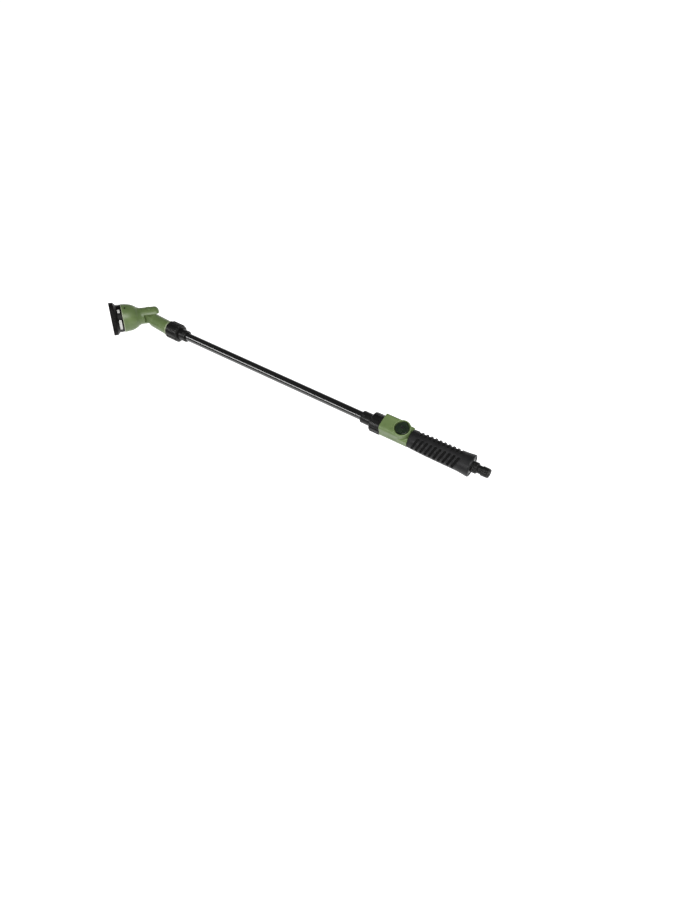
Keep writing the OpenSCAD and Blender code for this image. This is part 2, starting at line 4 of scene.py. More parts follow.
import bmesh
import bpy
from mathutils import Matrix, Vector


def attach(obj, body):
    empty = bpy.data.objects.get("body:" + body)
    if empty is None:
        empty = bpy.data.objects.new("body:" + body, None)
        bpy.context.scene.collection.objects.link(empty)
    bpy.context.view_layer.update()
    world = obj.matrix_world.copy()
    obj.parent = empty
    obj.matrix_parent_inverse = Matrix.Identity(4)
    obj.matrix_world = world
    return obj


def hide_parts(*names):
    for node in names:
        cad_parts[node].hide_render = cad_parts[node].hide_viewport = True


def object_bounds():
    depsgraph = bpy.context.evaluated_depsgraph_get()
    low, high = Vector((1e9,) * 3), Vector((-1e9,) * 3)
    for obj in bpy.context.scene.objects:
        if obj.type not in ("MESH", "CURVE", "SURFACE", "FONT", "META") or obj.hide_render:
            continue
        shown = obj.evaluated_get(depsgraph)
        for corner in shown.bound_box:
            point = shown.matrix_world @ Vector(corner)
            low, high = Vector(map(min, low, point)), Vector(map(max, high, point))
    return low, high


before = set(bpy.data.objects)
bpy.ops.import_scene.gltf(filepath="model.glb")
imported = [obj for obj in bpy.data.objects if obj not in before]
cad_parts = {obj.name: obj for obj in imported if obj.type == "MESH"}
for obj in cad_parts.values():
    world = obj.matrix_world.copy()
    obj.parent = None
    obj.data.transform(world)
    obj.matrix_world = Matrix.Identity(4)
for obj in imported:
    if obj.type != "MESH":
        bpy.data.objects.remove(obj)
cad_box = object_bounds()
MM = 0.001

# ---- Lance tube ----
# A drawn aluminium tube, 16 mm outside with a 1.2 mm wall, coated in gloss black.
# It is pushed into the head's socket at one end and the valve's socket at the other.
TUBE_RADIUS = 8.0
TUBE_WALL = 1.2
TUBE_ENDS = (-698.5, -199.0)


def eased(section, steps=5):
    """Rounds the corners of a closed section of (x, radius, corner radius) points, in mm."""
    points = []
    for i, (x, y, ease) in enumerate(section):
        ax, ay = section[i - 1][:2]
        bx, by = section[(i + 1) % len(section)][:2]
        la, lb = math.hypot(ax - x, ay - y), math.hypot(bx - x, by - y)
        ua, ub = ((ax - x) / la, (ay - y) / la), ((bx - x) / lb, (by - y) / lb)
        half = math.acos(max(-1, min(1, ua[0] * ub[0] + ua[1] * ub[1]))) / 2
        if ease <= 0 or half > 1.55:
            points.append((x, y))
            continue
        reach = min(ease / math.tan(half), la * 0.4, lb * 0.4)
        bulge = math.sin(half)
        points.append((x + ua[0] * reach * 1.15, y + ua[1] * reach * 1.15))
        for k in range(steps + 1):
            t = k / steps
            near, middle, far = (1 - t) ** 2, 2 * t * (1 - t) * bulge, t * t
            total = near + middle + far
            points.append((x + reach * (near * ua[0] + far * ub[0]) / total,
                           y + reach * (near * ua[1] + far * ub[1]) / total))
        points.append((x + ub[0] * reach * 1.15, y + ub[1] * reach * 1.15))
    return points


def soften(piece):
    """Smooth shading, with every edge over 35 degrees kept sharp."""
    piece.data.polygons.foreach_set("use_smooth", [True] * len(piece.data.polygons))
    piece.data.set_sharp_from_angle(angle=math.radians(35))


def as_piece(name, solid):
    """Makes a piece from finished mesh data."""
    bmesh.ops.recalc_face_normals(solid, faces=solid.faces)
    mesh = bpy.data.meshes.new(name)
    solid.to_mesh(mesh)
    solid.free()
    piece = bpy.data.objects.new(name, mesh)
    bpy.context.scene.collection.objects.link(piece)
    soften(piece)
    return piece


def turned(name, section, sides=96, step=None):
    """A solid turned about X from a closed section of (x, radius) points, in mm."""
    if step:
        finer = []
        for (xa, ra), (xb, rb) in zip(section, section[1:] + section[:1]):
            cuts = max(1, math.ceil(math.hypot(xb - xa, rb - ra) / step))
            finer += [(xa + (xb - xa) * k / cuts, ra + (rb - ra) * k / cuts) for k in range(cuts)]
        section = finer
    solid = bmesh.new()
    turns = [2 * math.pi * k / sides for k in range(sides)]
    rings = []
    for x, r in section:
        if r < 1e-6:
            rings.append([solid.verts.new((x * MM, 0, 0))])
        else:
            rings.append([solid.verts.new((x * MM, r * MM * math.cos(a), r * MM * math.sin(a)))
                          for a in turns])
    for near, far in zip(rings, rings[1:] + rings[:1]):
        for k in range(sides):
            corners = [near[k % len(near)], near[(k + 1) % len(near)],
                       far[(k + 1) % len(far)], far[k % len(far)]]
            corners = list(dict.fromkeys(corners))
            if len(corners) > 2:
                solid.faces.new(corners)
    return as_piece(name, solid)


def surface_finish(name, pale, deep, patch, gloss, grain, depth, stretch=(1, 1, 1), worn=0.0,
                   metal=0.0, level=0.5):
    """Broad tone changes, uneven gloss and a fine grain. Scales are per metre, depth in metres."""
    finish = bpy.data.materials.new(name)
    finish.use_nodes = True
    tree = finish.node_tree
    shader = tree.nodes["Principled BSDF"]
    shader.inputs["Metallic"].default_value = metal
    shader.inputs["Specular IOR Level"].default_value = level
    place = tree.nodes.new("ShaderNodeTexCoord")
    spread = tree.nodes.new("ShaderNodeMapping")
    spread.inputs["Scale"].default_value = stretch
    tree.links.new(place.outputs["Object"], spread.inputs["Vector"])

    def cloud(scale, detail):
        noise = tree.nodes.new("ShaderNodeTexNoise")
        noise.inputs["Scale"].default_value = scale
        noise.inputs["Detail"].default_value = detail
        tree.links.new(spread.outputs["Vector"], noise.inputs["Vector"])
        return noise.outputs["Fac"]

    def remapped(value, low, high, to_low, to_high):
        node = tree.nodes.new("ShaderNodeMapRange")
        for k, number in enumerate((low, high, to_low, to_high)):
            node.inputs[k + 1].default_value = number
        tree.links.new(value, node.inputs[0])
        return node.outputs[0]

    def blended(amount, first, second):
        node = tree.nodes.new("ShaderNodeMix")
        node.data_type = "RGBA"
        tree.links.new(amount, node.inputs[0])
        for socket, colour in ((node.inputs[6], first), (node.inputs[7], second)):
            if isinstance(colour, tuple):
                socket.default_value = (*colour, 1)
            else:
                tree.links.new(colour, socket)
        return node.outputs[2]

    tone = blended(remapped(cloud(patch, 4), 0.35, 0.65, 0, 1), deep, pale)
    speck = remapped(cloud(grain * 0.6, 2), 0.3, 0.7, 0, 0.22)
    tone = blended(speck, tone, tuple(c * 0.7 for c in deep))
    if worn:
        edges = tree.nodes.new("ShaderNodeNewGeometry")
        rub = remapped(edges.outputs["Pointiness"], 0.515, 0.56, 0, worn)
        tone = blended(rub, tone, tuple(min(1, c * 1.5 + 0.05) for c in pale))
    tree.links.new(tone, shader.inputs["Base Color"])
    tree.links.new(remapped(cloud(patch * 2.5, 3), 0.3, 0.7, gloss[0], gloss[1]),
                   shader.inputs["Roughness"])
    bump = tree.nodes.new("ShaderNodeBump")
    bump.inputs["Strength"].default_value = 1.0
    bump.inputs["Distance"].default_value = depth
    tree.links.new(cloud(grain, 3), bump.inputs["Height"])
    tree.links.new(bump.outputs["Normal"], shader.inputs["Normal"])
    return finish


def fitted(piece, body, slot, finish, *nodes):
    """Gives a piece its body and finish, and lets it stand for its CAD nodes. The slot is not used.
    """
    piece.data.materials.clear()
    piece.data.materials.append(finish)
    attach(piece, body)
    if nodes:
        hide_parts(*nodes)
    return piece


gloss_black = surface_finish("gloss_black_coating", (0.004, 0.004, 0.004), (0.002, 0.002, 0.002),
                             25, (0.13, 0.2), 900, 0.00001, stretch=(0.25, 1, 1), level=0.95)
tube_in, tube_out = TUBE_RADIUS - TUBE_WALL, TUBE_RADIUS
fitted(turned("lance_tube_coated", eased([
    (TUBE_ENDS[0], tube_in, 0.3), (TUBE_ENDS[0], tube_out, 0.4),
    (TUBE_ENDS[1], tube_out, 0.4), (TUBE_ENDS[1], tube_in, 0.3)]), 128),
    "handle", "tube_black", gloss_black, "lance_tube")

# ---- Tube bushes ----
# Flanged sleeves of black polypropylene, one at each end of the tube. A union nut pulls each
# flange against its socket. The part that shows has a rounded mouth and two shallow rings.
BUSH_RADIUS = 11.3
BUSH_FLANGE = 12.35
BUSH_RING = 0.35

satin_black = surface_finish("satin_black_plastic", (0.010, 0.010, 0.0095), (0.005, 0.005, 0.005),
                             60, (0.25, 0.38), 2600, 0.00005, level=0.22)


def bush(name, mouth, seen, way, node):
    """The sleeve from its mouth; way is +1 where the nut lies at larger X, else -1."""
    flange = seen + 2.05
    section = [(0, TUBE_RADIUS + 0.02, 0.2), (0, BUSH_RADIUS, 1.0)]
    for ring in (3.2, 5.6):
        section += [(ring, BUSH_RADIUS, 0.2), (ring + 0.3, BUSH_RADIUS - BUSH_RING, 0.15),
                    (ring + 0.9, BUSH_RADIUS - BUSH_RING, 0.15), (ring + 1.2, BUSH_RADIUS, 0.2)]
    section += [(flange, BUSH_RADIUS, 0), (flange, BUSH_FLANGE, 0.3),
                (flange + 2.8, BUSH_FLANGE, 0.3), (flange + 2.8, TUBE_RADIUS + 0.02, 0.2)]
    place = [(mouth + way * x, r) for x, r in eased(section)]
    fitted(turned(name, place, 112), "handle", "black_plastic", satin_black, node)


bush("head_bush_moulded", -652.0, 17.5, -1, "head_bush")
bush("handle_bush_moulded", -238.0, 20.0, 1, "handle_bush")

# ---- Union nuts ----
# Two moulded black nuts that screw over the sockets and clamp the bushes. Each has a wall with
# a bevelled lip and nine broad finger ribs, which run out before the nut's ends.
NUT_RADIUS = 18.0
NUT_RIBS = 9
NUT_RIB_WIDTH = 6.5
NUT_RIB_HEIGHT = 1.5
NUT_BORE = 12.7
NUT_LIP = 2.0
NUT_LIP_BORE = 11.45
ELBOW_ROLL = math.radians(-24)
FULL_TURN = 2 * math.pi


def node_sum(tree, kind, *values):
    """Adds a Math node and returns its result; values are numbers or sockets."""
    node = tree.nodes.new("ShaderNodeMath")
    node.operation = kind
    for socket, value in zip(node.inputs, values):
        if isinstance(value, (int, float)):
            socket.default_value = value
        else:
            tree.links.new(value, socket)
    return node.outputs[0]


def node_ramp(tree, value, low, high, to_low=0.0, to_high=1.0):
    """Adds a smooth Map Range node from low..high to to_low..to_high."""
    node = tree.nodes.new("ShaderNodeMapRange")
    node.interpolation_type = "SMOOTHSTEP"
    for socket, entry in zip(node.inputs[:5], (value, low, high, to_low, to_high)):
        if isinstance(entry, (int, float)):
            socket.default_value = entry
        else:
            tree.links.new(entry, socket)
    return node.outputs[0]


def new_tree(name, sizes):
    """An empty Geometry Nodes tree with one named input for each size."""
    tree = bpy.data.node_groups.new(name, "GeometryNodeTree")
    tree.interface.new_socket("Shape", in_out="INPUT", socket_type="NodeSocketGeometry")
    for size in sizes:
        tree.interface.new_socket(size, in_out="INPUT", socket_type="NodeSocketFloat")
    tree.interface.new_socket("Finish", in_out="INPUT", socket_type="NodeSocketMaterial")
    tree.interface.new_socket("Shape", in_out="OUTPUT", socket_type="NodeSocketGeometry")
    given = tree.nodes.new("NodeGroupInput")
    where = tree.nodes.new("GeometryNodeInputPosition")
    split = tree.nodes.new("ShaderNodeSeparateXYZ")
    tree.links.new(where.outputs[0], split.inputs[0])
    return tree, given.outputs, split.outputs


def close_tree(tree, given, shape):
    """Ends a tree in Realize Instances and Set Material."""
    real = tree.nodes.new("GeometryNodeRealizeInstances")
    coated = tree.nodes.new("GeometryNodeSetMaterial")
    done = tree.nodes.new("NodeGroupOutput")
    tree.links.new(shape, real.inputs[0])
    tree.links.new(real.outputs[0], coated.inputs["Geometry"])
    tree.links.new(given["Finish"], coated.inputs["Material"])
    tree.links.new(coated.outputs[0], done.inputs[0])


def pushed(tree, given, axes, lift):
    """Moves the shape's points outward from the X axis by lift."""
    radius = node_sum(tree, "MAXIMUM", radius_of(tree, axes), 1e-6)
    move = tree.nodes.new("ShaderNodeCombineXYZ")
    for k in (1, 2):
        tree.links.new(node_sum(tree, "MULTIPLY", node_sum(tree, "DIVIDE", axes[k], radius), lift),
                       move.inputs[k])
    moved = tree.nodes.new("GeometryNodeSetPosition")
    tree.links.new(given["Shape"], moved.inputs["Geometry"])
    tree.links.new(move.outputs[0], moved.inputs["Offset"])
    return moved.outputs[0]


def radius_of(tree, axes):
    squares = [node_sum(tree, "MULTIPLY", axes[k], axes[k]) for k in (1, 2)]
    return node_sum(tree, "SQRT", node_sum(tree, "ADD", *squares))


def rib_tree():
    """Evenly spaced ribs (or flutes, with a negative height) round a shape turned about X."""
    tree, given, axes = new_tree("ribs_round_a_turning", (
        "Count", "Width", "Height", "Start", "End", "Edge", "Run out", "Turn", "Least radius"))
    radius = radius_of(tree, axes)
    around = node_sum(tree, "ARCTAN2", node_sum(tree, "MULTIPLY", axes[1], -1), axes[2])
    around = node_sum(tree, "SUBTRACT", around, given["Turn"])
    place = node_sum(tree, "DIVIDE", node_sum(tree, "MULTIPLY", around, given["Count"]), FULL_TURN)
    off = node_sum(tree, "SUBTRACT", place, node_sum(tree, "ROUND", place))
    pitch = node_sum(tree, "DIVIDE", node_sum(tree, "MULTIPLY", radius, FULL_TURN), given["Count"])
    arc = node_sum(tree, "ABSOLUTE", node_sum(tree, "MULTIPLY", off, pitch))
    half = node_sum(tree, "MULTIPLY", given["Width"], 0.5)
    rib = node_ramp(tree, arc, node_sum(tree, "SUBTRACT", half, given["Edge"]),
                    node_sum(tree, "ADD", half, given["Edge"]), 1.0, 0.0)
    rise = node_ramp(tree, axes[0], given["Start"],
                     node_sum(tree, "ADD", given["Start"], given["Run out"]))
    fall = node_ramp(tree, axes[0], node_sum(tree, "SUBTRACT", given["End"], given["Run out"]),
                     given["End"], 1.0, 0.0)
    outside = node_sum(tree, "GREATER_THAN", radius, given["Least radius"])
    lift = node_sum(tree, "MULTIPLY", node_sum(tree, "MULTIPLY", rib, rise),
                    node_sum(tree, "MULTIPLY", fall, outside))
    lift = node_sum(tree, "MULTIPLY", lift, given["Height"])
    close_tree(tree, given, pushed(tree, given, axes, lift))
    return tree


def worked(piece, tree, finish, **sizes):
    """Runs a tree on a piece with the sizes given, and keeps the result as its plain mesh."""
    step = piece.modifiers.new("shape", "NODES")
    step.node_group = tree
    sizes = {name.replace("_", " ").capitalize(): value for name, value in sizes.items()}
    sizes["Finish"] = finish
    for socket in tree.interface.items_tree:
        if socket.in_out == "INPUT" and socket.name in sizes:
            step[socket.identifier] = sizes[socket.name]
    layers = bpy.context.evaluated_depsgraph_get()
    result = bpy.data.meshes.new_from_object(piece.evaluated_get(layers))
    piece.modifiers.remove(step)
    piece.data = result
    soften(piece)
    return piece


ribs = rib_tree()


def union_nut(name, length, lip_x, way, body, turn, node):
    """A nut from its lip; way is +1 where its mouth lies at larger X, else -1."""
    wall = NUT_RADIUS - NUT_RIB_HEIGHT
    section = eased([
        (0, NUT_LIP_BORE, 0.4), (0, wall - 2.0, 0.5), (1.6, wall, 0.8), (length - 1.2, wall, 0.6),
        (length, wall - 1.1, 0.4), (length, NUT_BORE, 0.3), (NUT_LIP, NUT_BORE, 0.2),
        (NUT_LIP, NUT_LIP_BORE, 0.2)])
    piece = turned(name, [(lip_x + way * x, r) for x, r in section], NUT_RIBS * 32, step=0.9)
    ends = sorted((lip_x + way * 0.5, lip_x + way * (length - 0.3)))
    worked(piece, ribs, satin_black, count=NUT_RIBS, width=NUT_RIB_WIDTH * MM,
           height=NUT_RIB_HEIGHT * MM - 0.00003, start=ends[0] * MM, end=ends[1] * MM,
           edge=0.45 * MM, run_out=2.2 * MM, turn=turn, least_radius=14.2 * MM)
    fitted(piece, body, "black_plastic", satin_black, node)


union_nut("head_nut_ribbed", 28.7, -669.5, -1, "head_collar", ELBOW_ROLL, "head_nut")
union_nut("handle_nut_ribbed", 22.7, -218.0, 1, "handle_collar", 0.0, "handle_nut")

# ---- Elbow tail ----
# Moulded green polypropylene: the socket for the tube, a leaning tail with a rim at the nut, and
# the flat knuckle that the head tilts on. One moulding, so every meeting of faces is rounded.
green = surface_finish("moulded_green_plastic", (0.114, 0.163, 0.058), (0.084, 0.127, 0.043),
                       45, (0.34, 0.48), 2400, 0.00005, worn=0.3, level=0.4)
# Painted highlight: a paler green for the bell's and tail's raised rims, standing in for light on
# them.
rim_highlight_green = surface_finish("green_rim_painted_highlight", (0.27, 0.31, 0.20), (0.21, 0.25, 0.15),
                            90, (0.3, 0.42), 3000, 0.00002, level=0.4)


def moulded(name, node, cell, passes, added=None):
    """A copy of a CAD node rebuilt on a fine grid, with its edges and inside corners rounded."""
    solid = bmesh.new()
    solid.from_mesh(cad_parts[node].data)
    bmesh.ops.remove_doubles(solid, verts=solid.verts, dist=2e-6)
    if added:
        solid.from_mesh(added.data)
        bpy.data.objects.remove(added)
    piece = as_piece(name, solid)
    grid = piece.modifiers.new("grid", "REMESH")
    grid.mode = "VOXEL"
    grid.voxel_size = cell * MM
    grid.use_smooth_shade = True
    ease = piece.modifiers.new("ease", "SMOOTH")
    ease.factor = 0.5
    ease.iterations = passes
    layers = bpy.context.evaluated_depsgraph_get()
    result = bpy.data.meshes.new_from_object(piece.evaluated_get(layers))
    piece.modifiers.clear()
    piece.data = result
    result.polygons.foreach_set("use_smooth", [True] * len(result.polygons))
    return piece


fitted(moulded("elbow_tail_moulded", "elbow_tail", 0.5, 4),
       "tail", "green_plastic", green, "elbow_tail")

# A raised ring at the tail's rim, coloured with the painted highlight.
TAIL_RIM = (-700.6, -698.6)
TAIL_RIM_RADIUS = 16.0
fitted(turned("tail_rim_painted_highlight", eased([
    (TAIL_RIM[0], TAIL_RIM_RADIUS - 1, 0.1), (TAIL_RIM[0], TAIL_RIM_RADIUS, 0.3),
    (TAIL_RIM[1], TAIL_RIM_RADIUS, 0.4), (TAIL_RIM[1], TAIL_RIM_RADIUS - 1, 0.1)]), 128),
    "tail", "green_plastic", rim_highlight_green)

# ---- Tail seal, pivot pin and pivot seals ----
# Inside parts: a nitrile ring on the tube, the hollow acetal pin that the head tilts on, and a
# small ring at each end of the knuckle. They are hidden when the lance is together.
seal_rubber = surface_finish("seal_rubber", (0.014, 0.014, 0.014), (0.008, 0.008, 0.008),
                             150, (0.45, 0.6), 4000, 0.00002)


def dressed(node, finish):
    """Gives a CAD node its finish."""
    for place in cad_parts[node].material_slots:
        place.material = finish


dressed("tail_seal", seal_rubber)
dressed("pivot_seals", seal_rubber)
dressed("pivot_pin", satin_black)

# ---- Head bell ----
# The green polypropylene head: a neck forked over the knuckle, which blends into a bell that
# widens to the dial. Its front edge is a raised rim, coloured paler green as a painted highlight.
PIVOT_X = -772.0
PIVOT_OFFSET = 12.0
ELBOW_BEND = math.radians(54)
HEAD_PLACE = (Matrix.Translation((PIVOT_X * MM, 0, 0)) @ Matrix.Rotation(ELBOW_ROLL, 4, "X")
              @ Matrix.Translation((0, PIVOT_OFFSET * MM, 0))
              @ Matrix.Rotation(math.pi + ELBOW_BEND, 4, "Z"))
BELL_FRONT = 53.5
BELL_RADIUS = 28.0
BELL_BACK = 22.0
NECK_RADIUS = 16.5
BLEND_RISE = 6.2
BLEND_START = BELL_BACK - 9
BLEND_LENGTH = 15.0
BLEND_STEPS = 12

blend = [(BLEND_START + BLEND_LENGTH * k / BLEND_STEPS,
          NECK_RADIUS - 0.25 + BLEND_RISE * (k / BLEND_STEPS) ** 2) for k in range(BLEND_STEPS + 1)]
collar = turned("neck_blend", [(BLEND_START, NECK_RADIUS - 1)] + blend
                + [(BLEND_START + BLEND_LENGTH, NECK_RADIUS - 1)], 128)
collar.data.transform(HEAD_PLACE)
fitted(moulded("head_bell_moulded", "head_bell", 0.55, 4, added=collar),
       "head", "green_plastic", green, "head_bell")
# A raised ring at the bell's front edge, coloured with the painted highlight.
rim = turned("bell_rim_painted_highlight", eased([
    (BELL_FRONT - 1.5, BELL_RADIUS - 0.8, 0.1), (BELL_FRONT - 1.5, BELL_RADIUS + 0.1, 0.3),
    (BELL_FRONT + 0.1, BELL_RADIUS + 0.1, 0.4), (BELL_FRONT + 0.1, BELL_RADIUS - 0.8, 0.1)]), 128)
rim.data.transform(HEAD_PLACE)
fitted(rim, "head", "green_plastic", rim_highlight_green)

# ---- Pivot caps ----
# Two green caps that press into the cheeks over the ends of the pin. Each stands a little below
# the neck's round and has a shallow dish in its top.
CAP_RADIUS = 7.0
CAP_SEAT = 13.6
CAP_TOP = 16.4

for side, turn in (("upper", -90), ("lower", 90)):
    cap = turned(f"pivot_cap_{side}", eased([
        (CAP_SEAT, 0, 0), (CAP_SEAT, CAP_RADIUS - 0.02, 0.3),
        (CAP_TOP - 0.8, CAP_RADIUS - 0.02, 0.4),
        (CAP_TOP, CAP_RADIUS - 1.4, 0.6), (CAP_TOP, 4.4, 0.3), (CAP_TOP - 0.45, 4.0, 0.2),
        (CAP_TOP - 0.45, 2.0, 0.4), (CAP_TOP - 0.2, 0, 0)]), 72)
    cap.data.transform(HEAD_PLACE @ Matrix.Rotation(math.radians(turn), 4, "Y"))
    fitted(cap, "head", "green_plastic", green, *(("pivot_caps",) if side == "upper" else ()))

# ---- Index mark, selector plate, port seal and centre screw ----
# A black dot let into the bell shows the pattern in use. Behind the dial sit the fixed plate with
# its one port, a rubber ring at that port, and the steel screw that holds the dial on its post.
screw_steel = surface_finish("bright_steel", (0.62, 0.62, 0.63), (0.5, 0.5, 0.52),
                             300, (0.22, 0.32), 1600, 0.000001, metal=1.0)
dressed("index_mark", satin_black)
dressed("selector_plate", satin_black)
dressed("port_seal", seal_rubber)
dressed("centre_screw", screw_steel)

# ---- Pattern dial ----
# Black moulded dial: a core with a chamber for each pattern, a flared ring that the hand turns,
# with fine grip flutes on its rim, and the spray plate welded into its front.
DIAL_BACK = BELL_FRONT + 0.4
DIAL_FRONT = 76.0
DIAL_RADIUS = 32.8
BAND_RADIUS = 27.5
CORE_RADIUS = 25.2
PLATE_RADIUS = 29.7
PLATE_DEPTH = 6.0
FLARE_DEPTH = 13.0
RIM_WIDTH = 8.0
RIM_FLUTES = 72
FLUTE_WIDTH = 1.5
FLUTE_DEPTH = 0.45

dial_black = surface_finish("dial_black_plastic", (0.005, 0.0042, 0.0042), (0.003, 0.0025, 0.0025),
                            55, (0.32, 0.45), 2600, 0.00006, level=0.08)
ring = turned("dial_ring_fluted", eased([
    (DIAL_BACK, CORE_RADIUS, 0.2), (DIAL_BACK, BAND_RADIUS, 0.4),
    (DIAL_FRONT - FLARE_DEPTH, BAND_RADIUS, 0.8), (DIAL_FRONT - RIM_WIDTH - 0.2, DIAL_RADIUS, 0.7),
    (DIAL_FRONT, DIAL_RADIUS, 0.9), (DIAL_FRONT, PLATE_RADIUS, 0.4),
    (DIAL_FRONT - PLATE_DEPTH, PLATE_RADIUS, 0.2),
    (DIAL_FRONT - PLATE_DEPTH, CORE_RADIUS, 0.2)]), RIM_FLUTES * 8, step=1.1)
worked(ring, ribs, dial_black, count=RIM_FLUTES, width=FLUTE_WIDTH * MM, height=-FLUTE_DEPTH * MM,
       start=(DIAL_FRONT - RIM_WIDTH - 0.4) * MM, end=(DIAL_FRONT - 0.2) * MM, edge=0.4 * MM,
       run_out=0.9 * MM, turn=0.0, least_radius=(PLATE_RADIUS + 1) * MM)
ring.data.transform(HEAD_PLACE)
fitted(ring, "dial", "black_plastic", dial_black, "dial_ring")
dressed("dial_core", dial_black)
dressed("spray_plate", dial_black)

# ---- Pattern labels ----
# Pale pads printed on the dial's band, one at each pattern, long and short in turn. The corners
# are rounded, and the pad wraps round the band.
LABEL_START = BELL_FRONT + 3.4
LABEL_WIDTH = 5.0
LABEL_SPANS = (15, 46)
LABEL_COUNT = 6
LABEL_TURN = -31
LABEL_STEPS = 40
LABEL_CORNER = 0.9
LABEL_HEIGHT = 0.33

label_white = surface_finish("printed_white", (0.50, 0.50, 0.48), (0.40, 0.40, 0.38),
                             220, (0.5, 0.62), 4000, 0.00001)


def label_pads():
    """Curved pads, each a closed strip of quads outside the band; spans and turns in degrees."""
    solid = bmesh.new()
    for i in range(LABEL_COUNT):
        reach = math.radians(LABEL_SPANS[i % 2] / 2) * BAND_RADIUS
        centre = math.radians(LABEL_TURN + 360 / LABEL_COUNT * i)
        columns = []
        for k in range(LABEL_STEPS + 1):
            u = -math.cos(math.pi * k / LABEL_STEPS) * reach
            inset = max(0.0, abs(u) - (reach - LABEL_CORNER))
            half = (LABEL_WIDTH / 2 - LABEL_CORNER
                    + math.sqrt(max(0, LABEL_CORNER ** 2 - inset ** 2)))
            turn = centre + u / BAND_RADIUS
            column = []
            for x, r in ((-half, BAND_RADIUS), (-half, BAND_RADIUS + LABEL_HEIGHT),
                         (half, BAND_RADIUS + LABEL_HEIGHT), (half, BAND_RADIUS)):
                middle = LABEL_START + LABEL_WIDTH / 2
                column.append(solid.verts.new(((middle + x) * MM, -math.sin(turn) * r * MM,
                                               math.cos(turn) * r * MM)))
            columns.append(column)
        for near, far in zip(columns, columns[1:]):
            for a, b in ((0, 1), (1, 2), (2, 3), (3, 0)):
                solid.faces.new((near[a], near[b], far[b], far[a]))
        solid.faces.new(columns[0])
        solid.faces.new(list(reversed(columns[-1])))
    return as_piece("pattern_pads", solid)


pads = label_pads()
pads.data.transform(HEAD_PLACE)
fitted(pads, "dial", "label_white", label_white, "pattern_labels")

# ---- Valve body ----
# Green moulding between the tube and the grip: round below, with a rounded deck above that ends
# in a half circle round the knob's well. Its spigots carry the union nut and the grip.
fitted(moulded("valve_body_moulded", "valve_body", 0.55, 4),
       "handle", "green_plastic", green, "valve_body")

# ---- Valve inside ----
# A chromed ball between two acetal seats, turned by a steel stem with its own ring seal. The
# insert screws in behind and holds the inner pipe, and a ring seals the tube in its socket.
pale_acetal = surface_finish("pale_acetal", (0.72, 0.72, 0.69), (0.62, 0.62, 0.6),
                             200, (0.35, 0.5), 3000, 0.00002)
for node in ("valve_ball", "valve_stem"):
    dressed(node, screw_steel)
for node in ("ball_seats", "water_tube"):
    dressed(node, pale_acetal)
for node in ("tube_seal", "stem_seal"):
    dressed(node, seal_rubber)
dressed("valve_insert", satin_black)

# ---- Flow knob ----
# A dark green disc with a finger bar across it, in the well on top of the valve. A small screw of
# blackened steel in the bar holds it on the stem.
knob_green = surface_finish("dark_green_plastic", (0.010, 0.019, 0.009), (0.006, 0.012, 0.006),
                            90, (0.3, 0.44), 2600, 0.00005, worn=0.12, level=0.3)
fitted(moulded("flow_knob_moulded", "flow_knob", 0.3, 4),
       "valve", "knob_plastic", knob_green, "flow_knob")
dark_steel = surface_finish("blackened_steel", (0.10, 0.10, 0.095), (0.06, 0.06, 0.058),
                            300, (0.3, 0.42), 1600, 0.000001, metal=1.0)
dressed("knob_screw", dark_steel)

# ---- Grip core and end cap ----
# A black tube pressed on the valve's rear spigot carries the grip, and a ring closes its end
# round the adaptor's shank.
dressed("grip_core", satin_black)
dressed("grip_end_cap", satin_black)

# ---- Grip sleeve ----
# Soft black thermoplastic rubber over the core, waisted towards the valve and flared at the end,
# with ten leaning finger slots on each side. It is moulded in one piece with the slots.
GRIP_FRONT, GRIP_END = -141.5, -27.0
GRIP_SHAPE = ((0, 16.4), (0.08, 17.0), (0.3, 17.8), (0.6, 18.0), (0.82, 18.1), (0.91, 18.85),
              (0.985, 19.7), (1, 19.2))
GRIP_BORE = 14.4
NOSE_ROUND = 0.6
TAIL_ROUND = 0.9
LEAN_REACH = 14.0
SLOTS = 10
SLOT_FIRST = GRIP_FRONT + 14
SLOT_PITCH = 8.3
SLOT_WIDTH = 4.0
SLOT_HALF_LENGTH = 12.0
SLOT_FLOOR = 15.5
SLOT_LEAN = math.radians(19)
SLOT_RISE = math.radians(39)
# Painted shade: the near-black colour that the slots' floors are given.
SLOT_PAINTED_SHADE = (0.0005, 0.0005, 0.0005)
SLOT_DULLING = 0.4
SLOT_EDGE = 0.35


def grip_radius(x):
    """The sleeve's radius: the shape's stations joined by a smooth curve."""
    u = min(1.0, max(0.0, (x - GRIP_FRONT) / (GRIP_END - GRIP_FRONT)))
    for k in range(len(GRIP_SHAPE) - 1):
        (ua, ra), (ub, rb) = GRIP_SHAPE[k:k + 2]
        if u <= ub:
            break
    last = GRIP_SHAPE[max(k - 1, 0)], GRIP_SHAPE[min(k + 2, len(GRIP_SHAPE) - 1)]
    slope_a = (rb - last[0][1]) / max(ub - last[0][0], 1e-6)
    slope_b = (last[1][1] - ra) / max(last[1][0] - ua, 1e-6)
    if k >= len(GRIP_SHAPE) - 3:
        slope_b = 0
        slope_a = 0 if k > len(GRIP_SHAPE) - 3 else slope_a
    h, t = ub - ua, (u - ua) / (ub - ua)
    return ((2 * t ** 3 - 3 * t ** 2 + 1) * ra + (t ** 3 - 2 * t ** 2 + t) * h * slope_a
            + (3 * t ** 2 - 2 * t ** 3) * rb + (t ** 3 - t ** 2) * h * slope_b)


